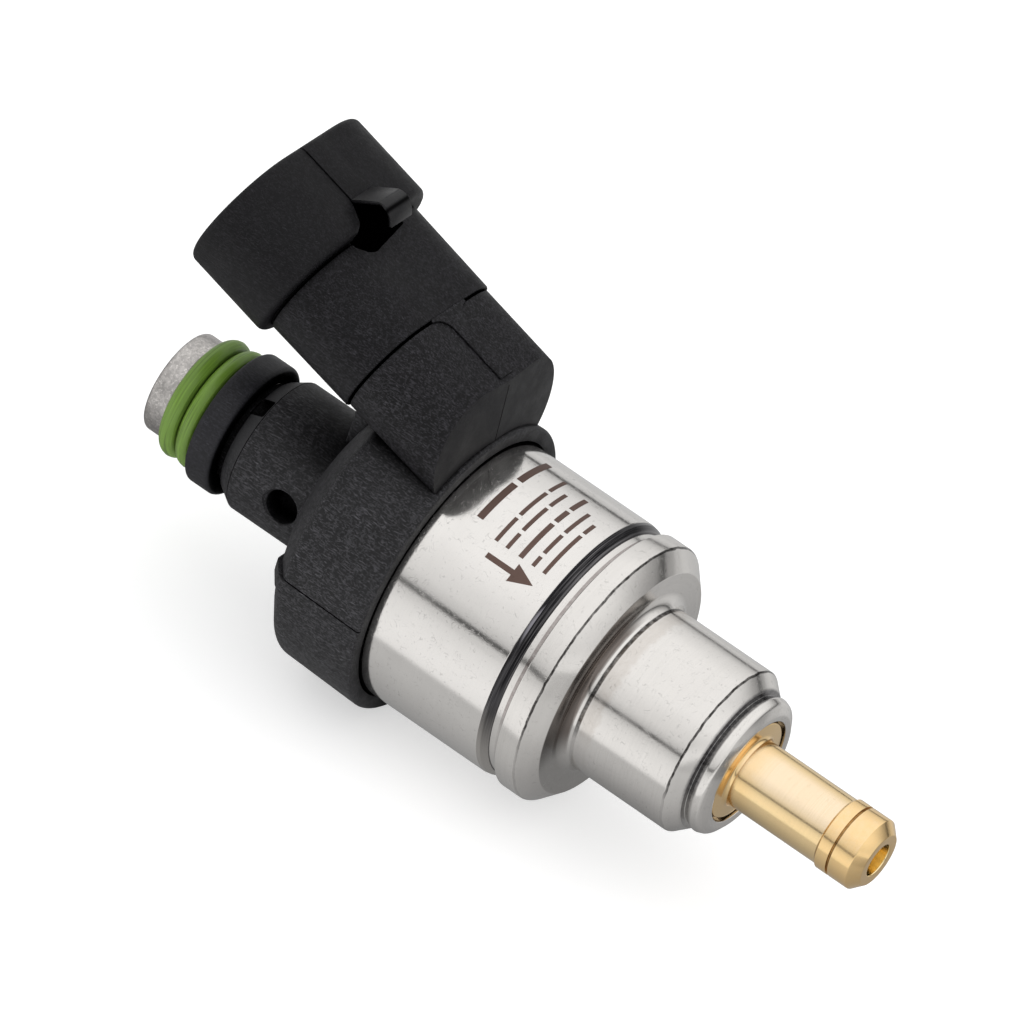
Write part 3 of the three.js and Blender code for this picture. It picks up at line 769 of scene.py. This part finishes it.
def end_cutter():
    """A cutter whose front is the base's end face, which falls back from the middle both ways."""
    half = 15
    side_x = END_X - half * math.tan(math.radians(2.5))
    outline = [(END_X, 0), (side_x, half), (60, half), (60, -half), (side_x, -half)]
    return prism(outline, -5, 40, leaning)


def end_crease():
    """A cutter for the fine parting line down the middle of the base's end face."""
    foot, head = leaning(END_X, 0, 12.7), leaning(END_X, 0, 18.7)
    outline = [
        (foot.x - 0.09, foot.z), (head.x - 0.09, head.z),
        (head.x + 1, head.z), (foot.x + 1, foot.z),
    ]
    return prism(outline, -0.045, 0.045, along_y)


def cavity():
    """A cutter for the room that the can takes up under the base."""
    return lathe([(21.2, 0), (21.2, CAVITY_R), (45, CAVITY_R), (45, 0)], False, 96)


def base_block():
    """The base, cut to its end face and the can and eased there, as a bmesh."""
    block = capped(slot_loft([
        (17.38, 0.5, 0, NECK_SHIFT), (17.38, 4.81, 0.12, NECK_SHIFT), (30, 4.81, 0, NECK_SHIFT),
    ], False))
    eased = combined(block, [end_cutter(), cavity()], "DIFFERENCE", 0.3)
    body = bmesh.new()
    body.from_mesh(eased)
    bpy.data.meshes.remove(eased)
    return body


piece(
    "connector_base", combined(base_block(), [end_crease()]),
    MATERIALS["base_plastic"], None,
)


def flared_strip():
    """The outline of the strip along the base: narrow, with flares where it meets the neck."""
    flare = 1.4
    turns = [math.radians(a) for a in range(0, 91, 9)]
    right = [(17.12, 2.25)]
    right += [(18.85 - flare * math.cos(a), 2.3 - flare * math.sin(a)) for a in turns]
    right += [(24.2, 0.9)]
    return right + [(a, -b) for a, b in reversed(right)]


strip = prism(flared_strip(), 4.2, 4.69, out_of_connector)
piece("base_strip", soften(strip, 0.08), MATERIALS["base_plastic"], None)
piece(
    "neck_rib", soften(slab((16.25, -1.65, 5.0), (20.5, 1.65, 12.6)), 0.3, 40, 3),
    MATERIALS["cap_plastic"], None,
)

# ---------------------------------------------------------------- connector shell

HEAD_END = 8.4
LATCH_HALF_WIDTH = 1.4
SHELL_PROFILE = [
    (0, 6.26, 0.6, 0), (HEAD_END, 6.26, 0.6, 0), (HEAD_END, 4.96, 0, NECK_SHIFT),
    (8.58, 4.96, 0, NECK_SHIFT), (8.66, 5.11, 0.05, NECK_SHIFT), (17.2, 5.03, 0.15, NECK_SHIFT),
    (17.2, 4.1, 0, NECK_SHIFT), (8.0, 4.1, 0.1, NECK_SHIFT), (8.0, 4.95, 0.2, 0), (0, 4.95, 0.3, 0),
]
SLOT_OUTLINE = [
    (6.0, 1.38), (7.8, 2.35), (8.5, 3.0), (9.44, 3.05), (10.2, -1.6), (9.95, -2.3), (8.95, -3.2),
    (8.5, -3.2), (7.8, -2.35), (6.0, -1.38),
]
latch_slot = soften(prism(SLOT_OUTLINE, 3.2, 9.0, out_of_connector), 0.3, 20, 3)
shell = combined(slot_loft(SHELL_PROFILE), [latch_slot], "DIFFERENCE", 0.14)
piece(
    "connector_shell_moulding", shell,
    MATERIALS["shell_plastic"], "connector_shell",
)

# A plate behind the latch slot, painted black as shade, which hides the hollow of the socket.
SHADE_PLATE_OUTLINE = [(5.2, -3.4), (10.6, -3.4), (10.6, 3.4), (5.2, 3.4)]
shade_plate = prism(SHADE_PLATE_OUTLINE, 4.15, 4.45, out_of_connector)
piece(
    "latch_slot_shade_plate", soften(shade_plate, 0.05),
    MATERIALS["shell_plastic"], None,
)


def curve_through(points, steps=8):
    """A smooth run of points through the given ones."""
    run = [points[0], *points, points[-1]]
    out = []
    for i in range(1, len(run) - 2):
        a, b, c, d = (Vector(p) for p in run[i - 1:i + 3])
        for k in range(steps):
            t = k / steps
            square = (2 * a - 5 * b + 4 * c - d) * t * t
            cube = (3 * b - a - 3 * c + d) * t ** 3
            out.append(0.5 * (2 * b + (c - a) * t + square + cube))
    out.append(Vector(points[-1]))
    return out


def plate_outline(points, thickness):
    """The closed outline of a thin curved plate under a run of points."""
    upper = curve_through(points)
    lower = []
    for i, p in enumerate(upper):
        along = (upper[min(i + 1, len(upper) - 1)] - upper[max(i - 1, 0)]).normalized()
        lower.append(p + Vector((along.y, -along.x)) * thickness)
    return [tuple(p) for p in upper + lower[::-1]]


def latch_wide(outline, width):
    """An outline in depth and height made as wide as the latch, with its edges rounded."""
    body = prism(outline, -LATCH_HALF_WIDTH, LATCH_HALF_WIDTH, across_connector)
    return soften(body, width, 50)


TONGUE_RUN = [
    (5.7, 6.1), (6.0, 6.45), (7.5, 8.08), (7.85, 8.36), (8.22, 8.5), (8.6, 8.49), (8.97, 8.36),
    (9.37, 8.08), (9.68, 7.74), (9.86, 7.45),
]
piece(
    "latch_tongue", latch_wide(plate_outline(TONGUE_RUN, 0.3), 0.07),
    MATERIALS["latch_plastic"], None,
)
STRIP_OUTLINE = [
    (0.02, 5.5), (0.02, 5.75), (0.12, 6.1), (0.35, 6.32), (0.7, 6.39), (5.95, 6.39), (5.95, 5.5),
]
piece(
    "rim_strip", latch_wide(STRIP_OUTLINE, 0.05), MATERIALS["shell_plastic"], None,
)

# ---------------------------------------------------------------- can, housing and nozzle

CAN_R = 11.77
COLLAR_R = 11.87
TIP_X = 70.758

piece(
    "steel_can_drawn",
    lathe([
        (21.4, CAN_R, 0.4), (39.72, CAN_R, 0.06), (40.1, 11.5), (40.1, 10.6, 0.2),
        (21.4, 10.6, 0.2),
    ], True, 192),
    MATERIALS["can_steel"], "steel_can",
)
piece(
    "can_weld_band",
    lathe([
        (39.74, 11.3), (39.74, 11.745, 0.04), (40.1, 11.7, 0.3), (40.45, 11.46, 0.3),
        (40.68, 11.3, 0.05), (40.7, 11.1), (39.9, 11.1),
    ], True, 192),
    MATERIALS["weld"], None,
)
piece(
    "lower_housing_turned",
    lathe([
        (39.0, 10.5), (40.18, 10.5), (40.18, 11.25), (41.65, 11.25, 0.1), (41.65, COLLAR_R, 0.12),
        (43.54, COLLAR_R, 0.25), (44.97, 10.32, 0.12), (44.97, 7.5, 1.05), (54.87, 7.5, 0.25),
        (56.05, 6.43, 0.08), (56.12, 5.98, 0.06), (56.85, 6.28, 0.3), (57.45, 6.08, 0.5),
        (57.97, 5.24, 0.3), (57.86, 4.7, 0.06), (57.1, 4.7), (57.1, 5.76), (47.6, 5.76),
        (47.6, 4.6), (39.0, 4.6),
    ], True, 192),
    MATERIALS["housing_steel"], "lower_housing",
)
piece(
    "brass_nozzle_turned",
    lathe([
        (50.55, 5.68, 0.1), (53.0, 5.68), (53.0, 4.55), (54.9, 4.55), (54.9, 5.68), (57.0, 5.68),
        (57.0, 4.43), (57.7, 4.43, 0.12), (57.7, 3.0, 0.4), (66.65, 3.0, 0.08), (66.84, 3.2, 0.06),
        (67.9, 3.2, 0.03), (67.9, 2.9), (68.12, 2.9), (68.12, 3.2, 0.03), (69.9, 3.2, 0.15),
        (TIP_X, 2.33, 0.12), (TIP_X, NOZZLE_BORE_R, 0.12), (62.0, NOZZLE_BORE_R), (61.5, 0.9),
        (50.55, 0.9),
    ], True, 144),
    MATERIALS["brass"], "brass_nozzle",
)

# ---------------------------------------------------------------- return spring


def wound_spring(start, end, mean, wire, turns, around=14, steps=40):
    """A bmesh of round wire wound from start to end, closer at both ends and in the middle."""
    rings = []
    along = Vector((1, 0, 0)) * wire
    total = turns * steps
    for i in range(total + 1):
        turn = i / steps
        share = i / total
        x = start + (end - start) * (share - 0.03 * math.sin(4 * math.pi * share) / 2)
        a = 2 * math.pi * turn
        centre = Vector((x, mean * math.cos(a), mean * math.sin(a)))
        outward = Vector((0, math.cos(a), math.sin(a)))
        ring = []
        for k in range(around):
            b = 2 * math.pi * k / around
            ring.append(centre + along * math.cos(b) + outward * wire * math.sin(b))
        rings.append(ring)
    return capped(skin(rings, False))


spring = piece(
    "return_spring_wound", wound_spring(28.45, 37.1, 1.42, 0.3, 7), MATERIALS["spring_wire"],
    "return_spring", 60,
)
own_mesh(spring)

# ---------------------------------------------------------------- carried-over CAD nodes

CARRIED = {
    "inlet_filter": "nylon",
    "terminal_carrier": "shell_plastic",
    "terminal_pin_left": "tinned_blade",
    "terminal_pin_right": "tinned_blade",
    "upper_flux_washer": "magnet_steel",
    "lower_flux_washer": "magnet_steel",
    "coil_bobbin": "nylon",
    "coil_winding": "copper_wire",
    "guide_sleeve": "turned_steel",
    "fixed_core": "magnet_steel",
    "spring_adjuster": "turned_steel",
    "armature": "magnet_steel",
    "valve_pad": "dark_rubber",
    "valve_seat": "turned_steel",
    "seat_oring": "dark_rubber",
    "nozzle_oring": "dark_rubber",
}
for node, finish in CARRIED.items():
    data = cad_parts[node].data
    if not data.materials:
        data.materials.append(None)
    for index in range(len(data.materials)):
        data.materials[index] = MATERIALS[finish]

# ---------------------------------------------------------------- marks etched on the can

# Just over the steel, which is at CAN_R.
MARK_R = 11.78


def etched_marks():
    """A flow arrow and plain bars on the can, as thin patches just over the steel."""
    bm = bmesh.new()

    def patch(start, end, low, high, steps=6, turns=14):
        """A patch from start to end along the axis; low and high give its angles at each end."""
        grid = []
        for i in range(steps + 1):
            t = i / steps
            x = start + (end - start) * t
            a0 = low[0] + (low[1] - low[0]) * t
            a1 = high[0] + (high[1] - high[0]) * t
            row = []
            for k in range(turns + 1):
                a = math.radians(a0 + (a1 - a0) * k / turns)
                place = Vector((x, -MARK_R * math.cos(a), MARK_R * math.sin(a)))
                row.append(bm.verts.new(place * MM))
            grid.append(row)
        for lower, upper in zip(grid, grid[1:]):
            for k in range(turns):
                bm.faces.new([lower[k], lower[k + 1], upper[k + 1], upper[k]])

    patch(33.6, 36.2, (50.2, 50.2), (52.6, 52.6))
    patch(36.2, 38.2, (47.2, 51.3), (55.6, 51.5))
    for x, width, spans in (
        (30.9, 0.62, ((62, 84), (87, 109))),
        (33.3, 0.36, ((58, 71), (73, 90), (92, 104))),
        (34.4, 0.36, ((58, 66), (68, 83), (85, 96))),
        (35.7, 0.46, ((58, 78), (80, 88), (90, 101))),
        (37.0, 0.36, ((58, 63), (65, 76), (78, 94))),
        (38.1, 0.36, ((58, 81), (83, 90))),
    ):
        for low, high in spans:
            patch(x, x + width, (low, low), (high, high), 2, 2 * (high - low))
    bmesh.ops.remove_doubles(bm, verts=bm.verts, dist=1e-6)
    return bm


piece("can_marks", etched_marks(), MATERIALS["etched"], None)

# ---------------------------------------------------------------- floor, light and camera

FLOOR_Z = cad_box[0][2] - 0.02 * MM
STAGE_REACH = 3000
CARD_SPAN = 300
WIDEN_AT = 60


def stage_plane(name, z, grey, glow):
    """A square stage piece: matte, with a glow of its own, centred on the injector's inlet."""
    bm = bmesh.new()
    reach = STAGE_REACH
    corners = [(-reach, -reach), (reach, -reach), (reach, reach), (-reach, reach)]
    bm.faces.new([bm.verts.new((x * MM, y * MM, z)) for x, y in corners])
    data = bpy.data.meshes.new(name)
    bm.to_mesh(data)
    bm.free()
    obj = linked(name, data)
    s = Shader(name, (grey, grey, grey), roughness=0.9)
    s.set("Specular IOR Level", 0.0)
    s.set("Emission Color", (1, 1, 1, 1))
    s.set("Emission Strength", glow)
    data.materials.append(s.material)
    return obj, s


def shade(ramp, stops):
    """Sets a colour ramp to greys at (position, value) stops."""
    elements = ramp.color_ramp.elements
    while len(elements) < len(stops):
        elements.new(0.5)
    for element, (position, value) in zip(elements, stops):
        element.position = position
        element.color = (value, value, value, 1)


def reflection_card():
    """A glowing card on the floor that only reflections see. Its grey changes across the
    injector, in bands that widen past WIDEN_AT; stops are (millimetres across, grey)."""
    card, s = stage_plane("reflection_card", FLOOR_Z + 0.01 * MM, 0.0, 1.0)
    x, y, _ = s.parts()
    past = s.math("MAXIMUM", s.math("SUBTRACT", x, WIDEN_AT * MM), 0.0)
    widen = s.math("ADD", s.math("DIVIDE", past, WIDEN_AT * MM), 1.0)
    reach = s.math("DIVIDE", y, widen)
    ramp = s.node("ShaderNodeValToRGB", {"Fac": s.spread(reach, -CARD_SPAN * MM, CARD_SPAN * MM)})
    stops = [
        (-300, 0.86), (-219, 0.887), (-119, 0.92), (-64, 0.96), (-44, 1.0), (-31, 1.0),
        (-25, 0.95), (-24.2, 0.56), (-17.8, 0.57), (-12.5, 0.48), (-8.7, 0.38), (-5, 0.29),
        (0, 0.21), (12, 0.22), (25, 0.35), (45, 0.55), (75, 0.62), (150, 0.62), (300, 0.72),
    ]
    shade(ramp, [((place + CARD_SPAN) / (2 * CARD_SPAN), value) for place, value in stops])
    nozzle = s.times(s.band(x, 58, 100, 7), 0.2)
    s.set("Emission Color", s.mix(nozzle, ramp.outputs["Color"], (1, 1, 1)))
    card.visible_camera = False
    card.visible_diffuse = False
    card.visible_shadow = False
    card.visible_transmission = False


def studio_world():
    """A soft tent, greyer low down, with a dark seam, a dim corner and a brighter nozzle end."""
    world = bpy.data.worlds.new("studio")
    bpy.context.scene.world = world
    world.use_nodes = True
    tree = world.node_tree

    def node(kind, *inputs, **settings):
        made = tree.nodes.new(kind)
        for key, value in settings.items():
            setattr(made, key, value)
        for index, value in enumerate(inputs):
            if hasattr(value, "is_output"):
                tree.links.new(value, made.inputs[index])
            else:
                made.inputs[index].default_value = value
        return made.outputs[0]

    def math_node(operation, a, b=0.0):
        return node("ShaderNodeMath", a, b, operation=operation)

    def step(value, *limits):
        return node("ShaderNodeMapRange", value, *limits, interpolation_type="SMOOTHSTEP")

    direction = tree.nodes.new("ShaderNodeTexCoord").outputs["Generated"]
    split = tree.nodes.new("ShaderNodeSeparateXYZ")
    tree.links.new(direction, split.inputs[0])
    x, y, z = split.outputs
    ramp = tree.nodes.new("ShaderNodeValToRGB")
    tree.links.new(z, ramp.inputs["Fac"])
    shade(ramp, [
        (0.0, 0.7), (0.09, 0.67), (0.2, 0.57), (0.3, 0.67), (0.38, 0.77), (0.5, 0.81), (0.62, 0.87),
        (0.8, 0.98), (1.0, 1.0),
    ])
    ahead = step(x, 0.75, 0.92, 0.0, 1.0)
    tone = math_node("ADD", ramp.outputs["Color"], math_node("MULTIPLY", ahead, 0.2))
    seam = math_node("MULTIPLY", step(z, 0.105, 0.135, 0.0, 1.0), step(z, 0.175, 0.21, 1.0, 0.0))
    seam = math_node("MULTIPLY", seam, math_node("SUBTRACT", 1.0, ahead))
    dark = math_node("MULTIPLY", seam, 0.95)
    tone = math_node("MULTIPLY", tone, math_node("SUBTRACT", 1.0, dark))
    corner = math_node("ADD", math_node("MULTIPLY", x, 0.6), math_node("MULTIPLY", y, 0.8))
    dim = math_node("MULTIPLY", step(corner, 0.4, 0.95, 0.0, 0.45), step(z, 0.25, 0.55, 1.0, 0.0))
    tone = math_node("MULTIPLY", tone, math_node("SUBTRACT", 1.0, dim))
    background = tree.nodes["Background"]
    tree.links.new(tone, background.inputs["Color"])
    background.inputs["Strength"].default_value = 1.1


stage_plane("studio_floor", FLOOR_Z, 0.75, 0.52)
reflection_card()
studio_world()
bpy.context.scene.view_settings.view_transform = "Standard"

# The camera's axes and aim in the injector's frame, and the width of the view at its aim.
RIGHT = Vector((0.7822, 0.5617, 0.2695))
UP = Vector((-0.5346, 0.3828, 0.7533))
BACK = Vector((0.32, -0.7333, 0.5997))
LENS = 600
SENSOR = 36
FRAME_WIDTH = 81.27
DISTANCE = FRAME_WIDTH * LENS / SENSOR
AIM = Vector((28.18, 7.02, 2.51))
camera_data = bpy.data.cameras.new("camera")
camera_data.lens = LENS
camera_data.clip_start = 0.05
camera_data.clip_end = 20
camera = linked("camera", camera_data)
camera.matrix_world = Matrix((RIGHT, UP, BACK)).transposed().to_4x4()
camera.location = (AIM + BACK * DISTANCE) * MM
bpy.context.scene.camera = camera
